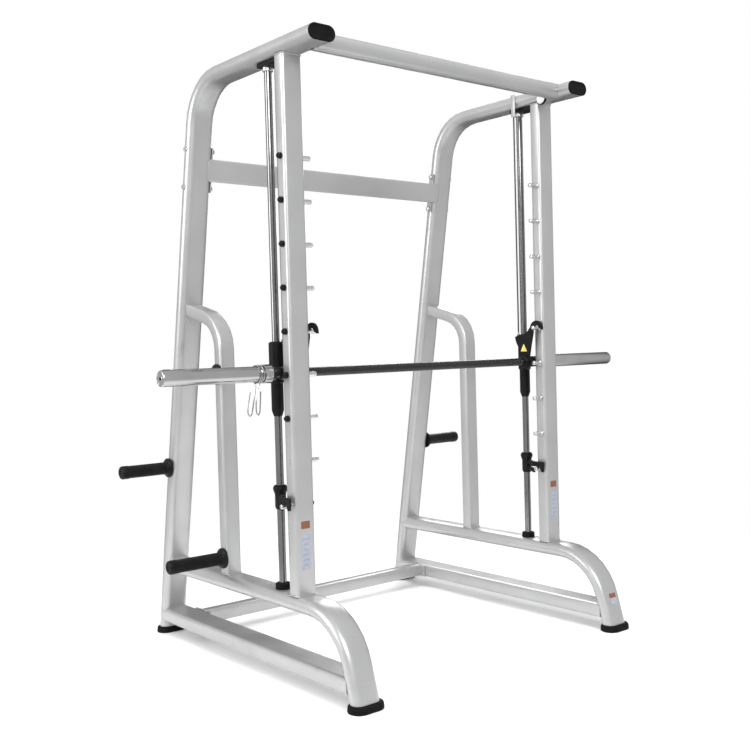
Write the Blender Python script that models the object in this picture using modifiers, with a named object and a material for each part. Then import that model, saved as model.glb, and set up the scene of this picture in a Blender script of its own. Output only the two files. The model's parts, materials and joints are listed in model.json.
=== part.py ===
"""Smith machine: two tube side frames, guide rods, a hooked barbell on carriages and safety stops.

Metres, +Z up, floor at Z = 0. The front of the machine faces -Y and the two side frames
mirror each other about X = 0.
"""
import math

import bmesh
import bpy

SIDES = ((-1, "l"), (1, "r"))

# Driving dimensions of the frame
FRAME_X = 0.600
BEAM_Z = 2.034
BEAM_FRONT_Y = -0.181
LEG_FOOT_Y = 0.891
LEG_SLOPE = -0.1761
LEG_BEND_R = 0.170
LOW_BEAM_Z = 0.269
FRONT_BEND_Y = -0.081
FRONT_BEND_R = 0.200
FRONT_LEAN = math.radians(16.0)
RAIL_Z = 0.071
POST_Y = 0.4366
POST_BEND_R = 0.120
POST_TOP_Z = 1.179
POST_RISE = math.tan(math.radians(14.0))
PAD_HEIGHT = 0.022
WALL = 0.003
GAP = 0.0004

OVAL = (0.100, 0.050, 0.025)
RAIL = (0.100, 0.050, 0.012)
UPRIGHT = (0.075, 0.050, 0.010)
POST = (0.060, 0.045, 0.008)
MEMBER = (0.080, 0.050, 0.008)
FLOOR_BAR = (0.050, 0.050, 0.008)
REAR_FOOT = (0.120, 0.070, 0.0345)
FRONT_FOOT = (0.122, 0.074, 0.0365)
FRONT_FOOT_SHIFT = -0.005
CROSSBAR_R = 0.030
CROSSBAR_Y = -0.100
FLOOR_BAR_Y = 0.738
MEMBER_Z = 1.738

# Guide rods, pegs, bar and carriages
ROD_Y = 0.1116
ROD_R = 0.0125
PEG_TOP_Z = 1.6901
PEG_PITCH = 0.1382
PEG_COUNT = 9
PEG_R = 0.008
PEG_IN = 0.0757
PEG_OUT = 0.0525
BAR_Y = 0.053
BAR_Z = 1.0047
BAR_R = 0.015
CORE_R = 0.012
SLEEVE_R = 0.025
SLEEVE_IN = 0.6686
COLLAR_END = 0.6980
SLEEVE_END = 1.0530
HOOK_X = 0.540
HOOK_T = 0.008
RACK_PEG = 4
STOP_PEG = 8
STOP_FORK_X = -0.060
STOP_TIP_Y = -0.030
CARRIAGE_BOTTOM = 0.863
CARRIAGE_TOP = 1.105
CABLE_X = 0.570
CABLE_R = 0.003
STORAGE_R = 0.0242
STORAGE_TIP = 0.846


def leg_y(z):
    return LEG_FOOT_Y + LEG_SLOPE * z


def peg_z(index):
    return PEG_TOP_Z - index * PEG_PITCH


# Scene and materials

def clear_scene():
    for item in list(bpy.data.objects):
        bpy.data.objects.remove(item, do_unlink=True)


def new_collection(name):
    group = bpy.data.collections.new(name)
    bpy.context.scene.collection.children.link(group)
    return group


def new_material(name, colour, roughness, metallic):
    material = bpy.data.materials.new(name)
    material.use_nodes = True
    shader = material.node_tree.nodes["Principled BSDF"]
    shader.inputs["Base Color"].default_value = (*colour, 1.0)
    shader.inputs["Roughness"].default_value = roughness
    shader.inputs["Metallic"].default_value = metallic
    material.diffuse_color = (*colour, 1.0)
    return material


clear_scene()
PARTS = new_collection("smith_machine")
CUTTERS = new_collection("cutters")
SILVER = new_material("silver_paint", (0.60, 0.61, 0.62), 0.38, 0.35)
CHROME = new_material("chrome", (0.80, 0.81, 0.82), 0.12, 1.0)
BLACK_PAINT = new_material("black_paint", (0.025, 0.025, 0.027), 0.35, 0.0)
BLACK_PLASTIC = new_material("black_plastic", (0.02, 0.02, 0.02), 0.5, 0.0)
RUBBER = new_material("rubber", (0.018, 0.018, 0.018), 0.75, 0.0)
ZINC = new_material("zinc_steel", (0.55, 0.56, 0.58), 0.3, 1.0)
CABLE_COAT = new_material("cable_coat", (0.03, 0.03, 0.035), 0.45, 0.0)


def add_object(name, bm, material, group=None, smooth_angle=35.0):
    bmesh.ops.remove_doubles(bm, verts=bm.verts, dist=0.00001)
    bmesh.ops.recalc_face_normals(bm, faces=bm.faces)
    mesh = bpy.data.meshes.new(name)
    bm.to_mesh(mesh)
    bm.free()
    item = bpy.data.objects.new(name, mesh)
    (group or PARTS).objects.link(item)
    if material:
        mesh.materials.append(material)
    if smooth_angle:
        mesh.polygons.foreach_set("use_smooth", [True] * len(mesh.polygons))
        mesh.set_sharp_from_angle(angle=math.radians(smooth_angle))
    return item


def place(item, location, rotation=(0.0, 0.0, 0.0)):
    item.location = location
    item.rotation_euler = rotation
    bpy.context.view_layer.update()
    return item


def boolean(item, tools, operation):
    for tool in tools:
        step = item.modifiers.new(operation.lower(), "BOOLEAN")
        step.operation = operation
        step.solver = "EXACT"
        step.object = tool
        tool.hide_render = True
        tool.display_type = "WIRE"
    bpy.context.view_layer.update()
    graph = bpy.context.evaluated_depsgraph_get()
    mesh = bpy.data.meshes.new_from_object(item.evaluated_get(graph))
    item.modifiers.clear()
    item.data = mesh
    mesh.polygons.foreach_set("use_smooth", [True] * len(mesh.polygons))
    mesh.set_sharp_from_angle(angle=math.radians(35.0))
    return item


def cut(item, *tools):
    return boolean(item, tools, "DIFFERENCE")


def join(item, *tools):
    return boolean(item, tools, "UNION")


# Sections, paths and sweeps

def round_section(width, height, radius):
    """Points (u, v) round a rectangle with round corners."""
    points = []
    corner_steps = 4 if radius > 0.02 else 3
    for corner, (su, sv) in enumerate(((1, 1), (-1, 1), (-1, -1), (1, -1))):
        cu = su * (width / 2 - radius)
        cv = sv * (height / 2 - radius)
        for step in range(corner_steps + 1):
            angle = math.radians(90.0 * (corner + step / corner_steps))
            points.append((cu + radius * math.cos(angle), cv + radius * math.sin(angle)))
    return points


def circle_section(radius, steps=28):
    return [(radius * math.cos(2 * math.pi * i / steps), radius * math.sin(2 * math.pi * i / steps))
            for i in range(steps)]


def fillet_path(corners, radii, steps=7):
    """Points (y, z) along straight runs joined by round bends of the radii given."""
    path = [corners[0]]
    for (ay, az), (by, bz), (cy, cz), radius in zip(corners, corners[1:], corners[2:], radii):
        first = math.atan2(bz - az, by - ay)
        turn = math.remainder(math.atan2(cz - bz, cy - by) - first, 2 * math.pi)
        reach = radius * math.tan(abs(turn) / 2)
        sign = math.copysign(1.0, turn)
        sy = by - reach * math.cos(first)
        sz = bz - reach * math.sin(first)
        oy = sy - sign * radius * math.sin(first)
        oz = sz + sign * radius * math.cos(first)
        for step in range(steps + 1):
            angle = first + turn * step / steps
            path.append((oy + sign * radius * math.sin(angle), oz - sign * radius * math.cos(angle)))
    path.append(corners[-1])
    return path


def tangents(path):
    result = []
    for index in range(len(path)):
        ay, az = path[max(index - 1, 0)]
        by, bz = path[min(index + 1, len(path) - 1)]
        if 0 < index < len(path) - 1:
            py, pz = path[index]
            first = math.atan2(pz - az, py - ay)
            turn = math.remainder(math.atan2(bz - pz, by - py) - first, 2 * math.pi)
            angle = first + turn / 2
        else:
            angle = math.atan2(bz - az, by - ay)
        result.append((math.cos(angle), math.sin(angle)))
    return result


def ring(bm, centre_x, point, tangent, section, end_normal=None):
    """One ring of a sweep in the YZ plane; end_normal (y, z) trims an end to that plane."""
    ty, tz = tangent
    ny, nz = -tz, ty
    verts = []
    for u, v in section:
        slide = 0.0
        if end_normal:
            slide = -v * (ny * end_normal[0] + nz * end_normal[1])
            slide /= ty * end_normal[0] + tz * end_normal[1]
        verts.append(bm.verts.new((centre_x + u, point[0] + v * ny + slide * ty,
                                   point[1] + v * nz + slide * tz)))
    return verts


def skin(bm, rings):
    for first, second in zip(rings, rings[1:]):
        for i in range(len(first)):
            j = (i + 1) % len(first)
            bm.faces.new((first[i], first[j], second[j], second[i]))


def sweep(name, centre_x, path, size, material, wall=WALL, ends=(None, None), group=None):
    """A tube or, with no wall, a solid bar of round-cornered section along a path in YZ."""
    bm = bmesh.new()
    layers = []
    for depth in ((0.0, wall) if wall else (0.0,)):
        width, height, radius = size
        section = round_section(width - 2 * depth, height - 2 * depth, radius - depth)
        rings = []
        for index, (point, tangent) in enumerate(zip(path, tangents(path))):
            trim = {0: ends[0], len(path) - 1: ends[1]}.get(index)
            rings.append(ring(bm, centre_x, point, tangent, section, trim))
        skin(bm, rings)
        layers.append(rings)
    if wall:
        for end in (0, -1):
            skin(bm, (layers[0][end], layers[1][end]))
    else:
        bm.faces.new(layers[0][0])
        bm.faces.new(layers[0][-1])
    return add_object(name, bm, material, group)


def along_x(name, x_start, x_end, size, material, wall=WALL, group=None):
    """A straight tube or bar along X, its section's width upright, centred on its object."""
    bm = bmesh.new()
    layers = []
    for depth in ((0.0, wall) if wall else (0.0,)):
        if len(size) == 1:
            section = circle_section(size[0] - depth)
        else:
            section = round_section(size[0] - 2 * depth, size[1] - 2 * depth, size[2] - depth)
        rings = [[bm.verts.new((x, v, u)) for u, v in section] for x in (x_start, x_end)]
        skin(bm, rings)
        layers.append(rings)
    if wall:
        for end in (0, -1):
            skin(bm, (layers[0][end], layers[1][end]))
    else:
        bm.faces.new(layers[0][0])
        bm.faces.new(layers[0][-1])
    return add_object(name, bm, material, group)


def lathe(name, profile, material, segments=24, closed=False, group=None):
    """A turned piece about local Z; the profile (radius, z) runs from top to bottom outside."""
    bm = bmesh.new()
    verts = [bm.verts.new((radius, 0.0, z)) for radius, z in profile]
    for first, second in zip(verts, verts[1:]):
        bm.edges.new((first, second))
    if closed:
        bm.edges.new((verts[-1], verts[0]))
    mesh = bpy.data.meshes.new(name)
    bm.to_mesh(mesh)
    bm.free()
    blank = bpy.data.objects.new(name + "_profile", mesh)
    CUTTERS.objects.link(blank)
    screw = blank.modifiers.new("turn", "SCREW")
    screw.axis = "Z"
    screw.steps = segments
    screw.render_steps = segments
    screw.use_merge_vertices = True
    screw.merge_threshold = 0.00001
    bpy.context.view_layer.update()
    graph = bpy.context.evaluated_depsgraph_get()
    turned = bpy.data.meshes.new_from_object(blank.evaluated_get(graph))
    bpy.data.objects.remove(blank, do_unlink=True)
    bm = bmesh.new()
    bm.from_mesh(turned)
    return add_object(name, bm, material, group)


def cylinder(name, radius, z_start, z_end, segments=24, group=None):
    """A plain cylinder on local Z, used to cut or to join."""
    bm = bmesh.new()
    bmesh.ops.create_cone(bm, cap_ends=True, segments=segments, radius1=radius, radius2=radius,
                          depth=z_end - z_start)
    bmesh.ops.translate(bm, verts=bm.verts, vec=(0.0, 0.0, (z_start + z_end) / 2))
    return add_object(name, bm, None, group or CUTTERS)


def box(name, low, high, material=None, group=None, bevel=0.0):
    bm = bmesh.new()
    bmesh.ops.create_cube(bm, size=1.0)
    size = [b - a for a, b in zip(low, high)]
    middle = [(a + b) / 2 for a, b in zip(low, high)]
    bmesh.ops.scale(bm, verts=bm.verts, vec=size)
    bmesh.ops.translate(bm, verts=bm.verts, vec=middle)
    if bevel:
        bmesh.ops.bevel(bm, geom=bm.edges, offset=bevel, segments=2, affect="EDGES", profile=0.5)
    return add_object(name, bm, material, group or (PARTS if material else CUTTERS))


def plate(name, outline, x_low, x_high, group=None):
    """A flat plate cut to an outline (y, z) and as thick as its two X values."""
    bm = bmesh.new()
    face = bm.faces.new([bm.verts.new((x_low, y, z)) for y, z in outline])
    grown = bmesh.ops.extrude_face_region(bm, geom=[face])
    moved = [v for v in grown["geom"] if isinstance(v, bmesh.types.BMVert)]
    bmesh.ops.translate(bm, verts=moved, vec=(x_high - x_low, 0.0, 0.0))
    return add_object(name, bm, None, group or CUTTERS)


def arc(cy, cz, radius, start, end, steps):
    """Points (y, z) on a circle between two angles in degrees, measured from +Y towards +Z."""
    points = []
    for step in range(steps + 1):
        angle = math.radians(start + (end - start) * step / steps)
        points.append((cy + radius * math.cos(angle), cz + radius * math.sin(angle)))
    return points


def grown(size, amount):
    return (size[0] + 2 * amount, size[1] + 2 * amount, size[2] + amount)


# Frame

def rear_path():
    corner = (leg_y(BEAM_Z), BEAM_Z)
    foot = (leg_y(PAD_HEIGHT + GAP), PAD_HEIGHT + GAP)
    return fillet_path([foot, corner, (BEAM_FRONT_Y, BEAM_Z)], [LEG_BEND_R])


def front_corner():
    drop = FRONT_BEND_R * math.tan((math.pi / 2 - FRONT_LEAN) / 2)
    return (FRONT_BEND_Y - drop, LOW_BEAM_Z)


def front_path(rear_y):
    corner = front_corner()
    fall = LOW_BEAM_Z - PAD_HEIGHT - GAP
    foot = (corner[0] - fall * math.tan(FRONT_LEAN), PAD_HEIGHT + GAP)
    return fillet_path([(rear_y, LOW_BEAM_Z), corner, foot], [FRONT_BEND_R])


def side_frame(side, tag):
    x = side * FRAME_X
    level = (0.0, 1.0)
    sweep("rear_frame_" + tag, x, rear_path(), OVAL, SILVER, ends=(level, None))
    leg_cut = sweep("leg_cut_" + tag, x, rear_path(), grown(OVAL, GAP), None, wall=None,
                    ends=(level, None), group=CUTTERS)
    low = sweep("lower_beam_" + tag, x, front_path(leg_y(LOW_BEAM_Z) - 0.004), OVAL, SILVER,
                ends=(None, level))
    cut(low, leg_cut)
    foot_cut = sweep("foot_cut_" + tag, x, front_path(0.4), grown(OVAL, GAP), None, wall=None,
                     ends=(None, level), group=CUTTERS)
    front_y = front_path(0.4)[-1][0] + RAIL_Z * math.tan(FRONT_LEAN)
    rail_path = [(leg_y(RAIL_Z) - 0.004, RAIL_Z), (front_y + 0.004, RAIL_Z)]
    rail = sweep("base_rail_" + tag, x, rail_path, RAIL, SILVER)
    cut(rail, leg_cut, foot_cut)
    upright(side, tag, x)
    loop_post(tag, x, leg_cut)
    return leg_cut


def upright(side, tag, x):
    low = LOW_BEAM_Z + OVAL[1] / 2 + GAP
    high = BEAM_Z - OVAL[1] / 2 - GAP
    column = sweep("upright_" + tag, x, [(0.0, low), (0.0, high)], UPRIGHT, SILVER)
    drills = []
    for index in range(PEG_COUNT):
        drill = cylinder(f"drill_{tag}{index}", PEG_R + 2 * GAP, -0.06, 0.06, 8)
        drills.append(place(drill, (x, 0.0, peg_z(index)), (0.0, math.pi / 2, 0.0)))
    cut(column, *drills)


def loop_post(tag, x, leg_cut):
    low = LOW_BEAM_Z + OVAL[1] / 2 + GAP
    run = leg_y(POST_TOP_Z) - 0.010 - POST_Y
    start = (POST_Y + run, POST_TOP_Z + run * POST_RISE)
    path = fillet_path([start, (POST_Y, POST_TOP_Z), (POST_Y, low)], [POST_BEND_R], 5)
    post = sweep("loop_post_" + tag, x, path, POST, SILVER)
    cut(post, leg_cut)


def finish_member(member, name, reach, half_y, half_z, thickness):
    """Joins a plate to each end of a crossmember and opens the tube through both."""
    ends = []
    for side, tag in SIDES:
        outer = side * reach
        inner = side * (reach - thickness)
        end = box(name + tag, (min(outer, inner), -half_y, -half_z), (max(outer, inner), half_y, half_z))
        ends.append(end)
    join(member, *ends)
    cut(member, box(name + "bore", (-1.0, -0.008, -0.018), (1.0, 0.008, 0.018)))


def cross_members(leg_cuts):
    reach = FRAME_X - OVAL[0] / 2 - GAP
    coped = FRAME_X - OVAL[1] / 2
    top = along_x("top_crossbar", -coped, coped, (CROSSBAR_R,), SILVER)
    place(top, (0.0, CROSSBAR_Y, BEAM_Z))
    cut(top, *leg_cuts)
    low = along_x("floor_crossbar", -reach + 0.004, reach - 0.004, FLOOR_BAR, SILVER)
    finish_member(low, "floor_plate_", reach, 0.055, 0.0235, 0.008)
    place(low, (0.0, FLOOR_BAR_Y, RAIL_Z))
    member = along_x("upper_crossmember", -coped, coped, MEMBER, SILVER)
    finish_member(member, "end_plate_", reach, 0.012, 0.080, 0.005)
    place(member, (0.0, leg_y(MEMBER_Z), MEMBER_Z), (math.atan(-LEG_SLOPE), 0.0, 0.0))
    cut(member, *leg_cuts)


def pad(name, x, y, size, height):
    bm = bmesh.new()
    width, depth, radius = size
    rings = []
    for inset, z in ((0.003, 0.0), (0.0, 0.004), (0.0, height - 0.003), (0.003, height)):
        section = round_section(width - 2 * inset, depth - 2 * inset, radius - inset)
        rings.append([bm.verts.new((u, v, z)) for u, v in section])
    skin(bm, rings)
    bm.faces.new(rings[0])
    bm.faces.new(rings[-1])
    return place(add_object(name, bm, RUBBER), (x, y, 0.0))


def caps_and_feet(side, tag):
    x = side * FRAME_X
    pad("rear_foot_" + tag, x, leg_y(PAD_HEIGHT / 2), REAR_FOOT, PAD_HEIGHT)
    pad("front_foot_" + tag, x, front_path(0.4)[-1][0] + FRONT_FOOT_SHIFT, FRONT_FOOT, PAD_HEIGHT)
    bm = bmesh.new()
    rings = []
    for inset, depth in ((0.0036, 0.020), (0.0036, -GAP), (0.0, -GAP), (0.0, -0.005), (0.0025, -0.0075)):
        section = round_section(OVAL[0] - 2 * inset, OVAL[1] - 2 * inset, OVAL[2] - inset)
        rings.append([bm.verts.new((u, depth, v)) for u, v in section])
    skin(bm, rings)
    bm.faces.new(rings[0])
    bm.faces.new(rings[-1])
    place(add_object("beam_cap_" + tag, bm, BLACK_PLASTIC), (x, BEAM_FRONT_Y, BEAM_Z))


# Guide rods and pegs

def guide_rod(side, tag):
    x = side * FRAME_X
    low = LOW_BEAM_Z + OVAL[1] / 2 + GAP
    plate_top = BEAM_Z - OVAL[1] / 2 - GAP
    plate_low = plate_top - 0.014
    box("rod_bracket_" + tag, (x - 0.025, UPRIGHT[1] / 2 + GAP, plate_low),
        (x + 0.025, ROD_Y + 0.028, plate_top), BLACK_PAINT, bevel=0.0015)
    profile = [(0.0, plate_low - GAP), (ROD_R, plate_low - GAP), (ROD_R, low), (0.0, low)]
    place(lathe("guide_rod_" + tag, profile, CHROME, 24), (x, ROD_Y, 0.0))
    top = low + 0.020
    bumper = [(ROD_R + GAP, top), (0.022, top), (0.025, top - 0.003), (0.025, low),
              (ROD_R + GAP, low)]
    place(lathe("rod_bumper_" + tag, bumper, RUBBER, 24, closed=True), (x, ROD_Y, 0.0))


def peg_profile():
    face = UPRIGHT[0] / 2
    return [(0.0, PEG_IN), (PEG_R, PEG_IN), (PEG_R, face + 0.0045), (0.0125, face + 0.0045),
            (0.0125, face + GAP), (PEG_R, face + GAP), (PEG_R, -face - GAP),
            (0.0105, -face - GAP), (0.0105, -PEG_OUT), (0.0, -PEG_OUT)]


def pegs(side, tag):
    """The stubs point inwards, but the left stop's peg is turned round to meet its fork."""
    for index in range(PEG_COUNT):
        outward = tag == "l" and index == STOP_PEG
        turn = math.pi / 2 if outward else -math.pi / 2
        peg = lathe(f"peg_{tag}{index + 1}", peg_profile(), ZINC, 10)
        place(peg, (side * FRAME_X, 0.0, peg_z(index)), (0.0, side * turn, 0.0))


def storage_peg(name, x_face, side, y, z):
    length = STORAGE_TIP - abs(x_face)
    profile = [(0.0, length), (0.017, length), (0.022, length - 0.003), (STORAGE_R, length - 0.008),
               (STORAGE_R, 0.016), (0.036, 0.006), (0.036, 0.0), (0.021, 0.0), (0.021, length - 0.012),
               (0.0, length - 0.012)]
    item = lathe(name, profile, BLACK_PAINT, 20)
    place(item, (x_face, y, z), (0.0, side * math.pi / 2, 0.0))


def storage_pegs():
    leg_face = FRAME_X + OVAL[0] / 2 + GAP
    post_face = FRAME_X + POST[0] / 2 + GAP
    leg_height = 0.646
    for side, tag in SIDES:
        storage_peg("leg_storage_peg_" + tag, side * leg_face, side, leg_y(leg_height), leg_height)
    for level, height in (("low", 0.351), ("high", 0.999)):
        storage_peg("post_storage_peg_" + level, -post_face, -1, POST_Y, height)


# Moving parts

def carriage(side, tag):
    """Bearing tube round the rod, with a cross housing for the bar and a lug for the cable."""
    drop = CARRIAGE_BOTTOM - BAR_Z
    rise = CARRIAGE_TOP - BAR_Z
    bore = ROD_R + GAP
    profile = [(bore, rise), (0.022, rise), (0.0245, rise - 0.003), (0.0245, -0.030),
               (0.0203, -0.034), (0.0203, drop + 0.019), (0.0140, drop), (bore, drop)]
    tube = lathe("carriage_" + tag, profile, BLACK_PAINT, 24, closed=True)
    turn = (0.0, math.pi / 2, 0.0)
    axis_y = BAR_Y - ROD_Y
    housing = place(cylinder("housing_" + tag, 0.0210, -0.030, 0.030, 24), (0.0, axis_y, 0.0), turn)
    web = box("web_" + tag, (-0.010, axis_y + 0.012, -0.019), (0.010, -0.018, 0.019))
    lug_x = -side * (FRAME_X - CABLE_X)
    lug = box("lug_" + tag, (lug_x - 0.010, -0.010, rise - 0.016), (lug_x + 0.010, 0.010, rise))
    join(tube, housing, web, lug)
    bar_bore = cylinder("bar_bore_" + tag, BAR_R + GAP, -0.05, 0.05, 24)
    place(bar_bore, (0.0, axis_y, 0.0), turn)
    rod_bore = cylinder("rod_bore_" + tag, bore, -0.2, 0.2, 24)
    cut(tube, bar_bore, rod_bore)
    place(tube, (side * FRAME_X, ROD_Y, BAR_Z))


def bar():
    shoulder_in = SLEEVE_IN - 0.016
    half = [(0.0, SLEEVE_END - 0.014), (CORE_R, SLEEVE_END - 0.014), (CORE_R, SLEEVE_IN - GAP),
            (0.0245, SLEEVE_IN - GAP), (0.0245, shoulder_in + 0.002), (0.0225, shoulder_in),
            (BAR_R, shoulder_in)]
    profile = half + [(radius, -z) for radius, z in reversed(half)]
    place(lathe("bar", profile, BLACK_PAINT, 24), (0.0, BAR_Y, BAR_Z), (0.0, math.pi / 2, 0.0))


def sleeve(side, tag):
    bore = CORE_R + GAP
    profile = [(0.0, SLEEVE_END), (SLEEVE_R - 0.004, SLEEVE_END), (SLEEVE_R, SLEEVE_END - 0.004),
               (SLEEVE_R, COLLAR_END), (0.028, COLLAR_END), (0.030, COLLAR_END - 0.002),
               (0.030, SLEEVE_IN + 0.002), (0.028, SLEEVE_IN), (bore, SLEEVE_IN),
               (bore, SLEEVE_END - 0.013), (0.0, SLEEVE_END - 0.013)]
    item = lathe("sleeve_" + tag, profile, CHROME, 24)
    place(item, (0.0, BAR_Y, BAR_Z), (0.0, side * math.pi / 2, 0.0))


def hook_outline():
    """Outline (y, z) about the bar's axis: hub, neck, rear lug and the arch over the peg."""
    peg_y = -BAR_Y
    peg_height = peg_z(RACK_PEG) - BAR_Z
    arch_y = peg_y - 0.0085
    arch_z = peg_height - 0.0035
    points = arc(0.0, 0.0, 0.030, 140.0, 410.0, 16)
    points += [(0.024, 0.046), (0.042, 0.074), (0.049, 0.098), (0.028, 0.106), (0.002, 0.1095)]
    points += [(-0.017, 0.119)]
    points += arc(arch_y, arch_z, 0.031, 12.0, 190.0, 12)
    points += [(peg_y - 0.0355, peg_height - 0.0085), (peg_y - 0.0215, peg_height - 0.0005)]
    points += arc(peg_y - 0.0130, peg_height + 0.0004, 0.0085, 175.0, 92.0, 4)
    points += arc(peg_y, peg_height, PEG_R + 0.0007, 88.0, 0.0, 4)
    points += [(peg_y + 0.0090, peg_height - 0.020), (-0.0315, 0.062)]
    return points


def hook(side, tag):
    inner = side * (HOOK_X - HOOK_T / 2)
    outer = side * (HOOK_X + HOOK_T / 2)
    item = plate("hook_" + tag, hook_outline(), min(inner, outer), max(inner, outer), PARTS)
    item.data.materials.append(BLACK_PAINT)
    turn = (0.0, math.pi / 2, 0.0)
    boss = place(cylinder("boss_" + tag, 0.026, -0.013, 0.013, 24), (side * HOOK_X, 0.0, 0.0), turn)
    join(item, boss)
    bore = place(cylinder("hub_bore_" + tag, BAR_R + GAP, -0.05, 0.05, 24), (side * HOOK_X, 0.0, 0.0), turn)
    cut(item, bore)
    place(item, (0.0, BAR_Y, BAR_Z))


def safety_stop(side, tag):
    """Collar on the rod whose arm hooks over a peg; both are one part, so both arms point to -X."""
    z = peg_z(STOP_PEG)
    bore = ROD_R + GAP
    profile = [(bore, 0.047), (0.0225, 0.047), (0.0240, 0.044), (0.0235, 0.037), (0.0185, 0.022),
               (0.0185, -0.020), (0.0150, -0.027), (bore, -0.027)]
    body = lathe("safety_stop_" + tag, profile, BLACK_PAINT, 24, closed=True)
    top = PEG_R + GAP
    arm = slant_bar("arm_" + tag, STOP_FORK_X, 0.012 - ROD_Y, top + 0.0010, top + 0.0185, 0.0076)
    lip = slant_bar("lip_" + tag, STOP_FORK_X * 0.96, 0.020 - ROD_Y, -0.0160, 0.0005, 0.0070)
    tip = STOP_TIP_Y
    outline = [(0.030, top), (0.030, top + 0.0195), (tip + 0.004, top + 0.0195), (tip, top + 0.0150),
               (tip, -0.006), (tip + 0.003, -0.012), (tip + 0.010, -0.012), (-0.0095, top)]
    outline = [(y - ROD_Y, z) for y, z in outline]
    fork = plate("fork_" + tag, outline, STOP_FORK_X - 0.004, STOP_FORK_X + 0.004)
    join(body, arm, lip, fork)
    clear = cylinder("stop_bore_" + tag, bore, -0.1, 0.1, 24)
    cut(body, clear)
    place(body, (side * FRAME_X, ROD_Y, z))


def slant_bar(name, x_end, y_end, z_low, z_high, width):
    """A bar from the rod's axis to a point beside it, as deep as its two heights."""
    length = math.hypot(x_end, y_end)
    item = box(name, (0.0, -width / 2, z_low), (length, width / 2, z_high))
    return place(item, (0.0, 0.0, 0.0), (0.0, 0.0, math.atan2(y_end, x_end)))


def cable(side, tag):
    top = BEAM_Z - 0.0285
    profile = [(0.0, top), (CABLE_R, top), (CABLE_R, CARRIAGE_TOP + GAP), (0.0, CARRIAGE_TOP + GAP)]
    place(lathe("cable_" + tag, profile, CABLE_COAT, 10), (side * CABLE_X, ROD_Y + 0.0014, 0.0))


def smooth_path(points, count):
    """Even points on a smooth curve through the given ones."""
    curve = bpy.data.curves.new("wire_route", "CURVE")
    curve.dimensions = "3D"
    spline = curve.splines.new("NURBS")
    spline.points.add(len(points) - 1)
    for slot, point in zip(spline.points, points):
        slot.co = (*point, 1.0)
    spline.use_endpoint_u = True
    spline.order_u = 3
    curve.resolution_u = count
    return curve


def spring_clip():
    """Round-wire spring clip on the left sleeve, hanging by its coil."""
    coil_r = SLEEVE_R + 0.0042
    wire = 0.0017
    turns = 3
    pitch = 0.0060
    route = []
    outer = -pitch * turns
    for step in range(turns * 10 + 1):
        angle = 2 * math.pi * step / 10
        route.append((-pitch * step / 10, -coil_r * math.sin(angle), -coil_r * math.cos(angle)))
    first = [(0.002, 0.002, -0.055), (-0.003, 0.000, -0.100), (-0.008, -0.002, -0.128),
             (-0.017, -0.003, -0.128), (-0.019, -0.002, -0.100), (-0.010, 0.002, -0.055),
             (-0.002, 0.0055, -0.034)]
    last = [(outer - 0.002, -0.0055, -0.034), (outer - 0.004, -0.003, -0.055),
            (outer - 0.010, 0.002, -0.100), (outer - 0.018, 0.004, -0.132),
            (outer - 0.027, 0.004, -0.132), (outer - 0.027, 0.004, -0.100),
            (outer - 0.018, 0.003, -0.055)]
    curve = smooth_path(first + route + last, 2)
    curve.bevel_depth = wire
    curve.bevel_resolution = 1
    curve.use_fill_caps = True
    blank = bpy.data.objects.new("clip_route", curve)
    CUTTERS.objects.link(blank)
    bpy.context.view_layer.update()
    graph = bpy.context.evaluated_depsgraph_get()
    mesh = bpy.data.meshes.new_from_object(blank.evaluated_get(graph))
    bpy.data.objects.remove(blank, do_unlink=True)
    bm = bmesh.new()
    bm.from_mesh(mesh)
    item = add_object("spring_clip", bm, CHROME)
    place(item, (-COLLAR_END - 0.006, BAR_Y, BAR_Z))


LEG_CUTS = []
for frame_side, frame_tag in SIDES:
    LEG_CUTS.append(side_frame(frame_side, frame_tag))
    caps_and_feet(frame_side, frame_tag)
    guide_rod(frame_side, frame_tag)
    pegs(frame_side, frame_tag)
    carriage(frame_side, frame_tag)
    sleeve(frame_side, frame_tag)
    hook(frame_side, frame_tag)
    safety_stop(frame_side, frame_tag)
    cable(frame_side, frame_tag)
cross_members(LEG_CUTS)
storage_pegs()
bar()
spring_clip()

# The footprint's middle is the origin
FRONT_EDGE = front_path(0.4)[-1][0] + FRONT_FOOT_SHIFT - FRONT_FOOT[1] / 2
REAR_EDGE = leg_y(PAD_HEIGHT / 2) + REAR_FOOT[1] / 2
for part in PARTS.objects:
    part.location.y -= (FRONT_EDGE + REAR_EDGE) / 2
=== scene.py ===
import json
import math

import bmesh
import bpy
from mathutils import Matrix, Vector


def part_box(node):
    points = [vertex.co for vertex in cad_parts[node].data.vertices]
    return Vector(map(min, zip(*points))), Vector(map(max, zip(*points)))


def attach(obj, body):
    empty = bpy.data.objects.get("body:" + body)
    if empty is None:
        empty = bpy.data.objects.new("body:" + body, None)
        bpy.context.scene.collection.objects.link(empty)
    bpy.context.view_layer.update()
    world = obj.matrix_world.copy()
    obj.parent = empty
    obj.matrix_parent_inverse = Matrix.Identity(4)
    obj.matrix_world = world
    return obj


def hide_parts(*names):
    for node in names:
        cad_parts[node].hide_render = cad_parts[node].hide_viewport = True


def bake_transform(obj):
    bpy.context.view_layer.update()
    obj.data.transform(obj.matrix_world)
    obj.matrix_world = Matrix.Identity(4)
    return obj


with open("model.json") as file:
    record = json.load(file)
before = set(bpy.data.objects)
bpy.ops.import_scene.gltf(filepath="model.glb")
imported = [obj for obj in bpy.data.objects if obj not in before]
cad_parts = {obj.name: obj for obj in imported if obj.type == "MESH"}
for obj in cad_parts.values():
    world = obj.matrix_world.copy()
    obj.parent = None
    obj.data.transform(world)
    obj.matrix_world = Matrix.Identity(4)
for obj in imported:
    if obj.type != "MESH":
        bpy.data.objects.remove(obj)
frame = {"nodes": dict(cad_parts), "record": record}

NODES = frame["nodes"]
SIDES = ((-1, "l"), (1, "r"))
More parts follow.
